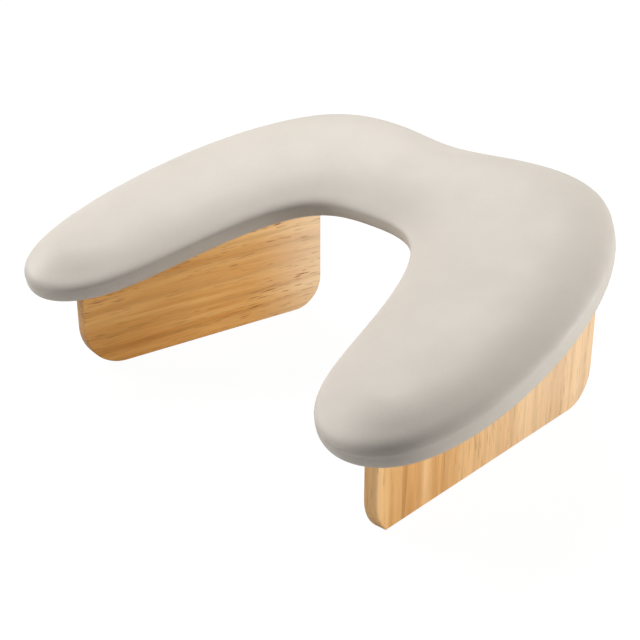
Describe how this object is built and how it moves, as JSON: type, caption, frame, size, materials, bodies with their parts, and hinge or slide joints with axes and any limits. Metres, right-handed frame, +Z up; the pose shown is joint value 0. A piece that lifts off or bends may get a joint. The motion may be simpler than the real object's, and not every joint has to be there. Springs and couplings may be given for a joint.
{
  "type": "face cradle cushion",
  "caption": "Horseshoe-shaped padded face rest with a faux leather cover, sloping down to its open end on two upright wooden boards.",
  "frame": {"origin": "middle of the footprint's bounding box, on the surface that the legs stand on", "axes": "+X across the two arms, +Y towards the closed back of the horseshoe (the arms reach towards -Y), +Z up"},
  "size_m": [0.382, 0.261, 0.1476],
  "materials": {
    "leather": "smooth matte warm off-white faux leather with a very fine grain",
    "soft_foam": "soft polyurethane foam",
    "firm_foam": "firm polyurethane foam",
    "plywood": "raw birch plywood",
    "dust_cloth": "black non-woven polypropylene",
    "wood": "pale rubberwood, fine straight grain, satin clear lacquer",
    "screw_steel": "zinc plated",
    "staple_steel": "galvanised wire"
  },
  "bodies": {
    "root": {"cover": "leather", "foam_top": "soft_foam", "foam_base": "firm_foam", "seat_board": "plywood", "dust_cover": "dust_cloth", "leg_screw_left_1": "screw_steel", "leg_screw_left_2": "screw_steel", "leg_screw_left_3": "screw_steel", "leg_screw_right_1": "screw_steel", "leg_screw_right_2": "screw_steel", "leg_screw_right_3": "screw_steel", "hem_staple_01": "staple_steel", "hem_staple_02": "staple_steel", "hem_staple_03": "staple_steel", "hem_staple_04": "staple_steel", "hem_staple_05": "staple_steel", "hem_staple_06": "staple_steel", "hem_staple_07": "staple_steel", "hem_staple_08": "staple_steel", "hem_staple_09": "staple_steel", "hem_staple_10": "staple_steel", "hem_staple_11": "staple_steel", "hem_staple_12": "staple_steel", "hem_staple_13": "staple_steel", "hem_staple_14": "staple_steel", "hem_staple_15": "staple_steel", "hem_staple_16": "staple_steel", "hem_staple_17": "staple_steel", "hem_staple_18": "staple_steel", "hem_staple_19": "staple_steel", "hem_staple_20": "staple_steel", "hem_staple_21": "staple_steel", "hem_staple_22": "staple_steel", "hem_staple_23": "staple_steel", "hem_staple_24": "staple_steel", "hem_staple_25": "staple_steel", "dust_staple_01": "staple_steel", "dust_staple_02": "staple_steel", "dust_staple_03": "staple_steel", "dust_staple_04": "staple_steel", "dust_staple_05": "staple_steel", "dust_staple_06": "staple_steel", "dust_staple_07": "staple_steel", "dust_staple_08": "staple_steel", "dust_staple_09": "staple_steel", "dust_staple_10": "staple_steel", "dust_staple_11": "staple_steel", "dust_staple_12": "staple_steel", "dust_staple_13": "staple_steel", "dust_staple_14": "staple_steel", "dust_staple_15": "staple_steel", "dust_staple_16": "staple_steel", "dust_staple_17": "staple_steel", "dust_staple_18": "staple_steel", "dust_staple_19": "staple_steel", "dust_staple_20": "staple_steel", "leg_left": "wood", "leg_right": "wood"}
  },
  "joints": []
}
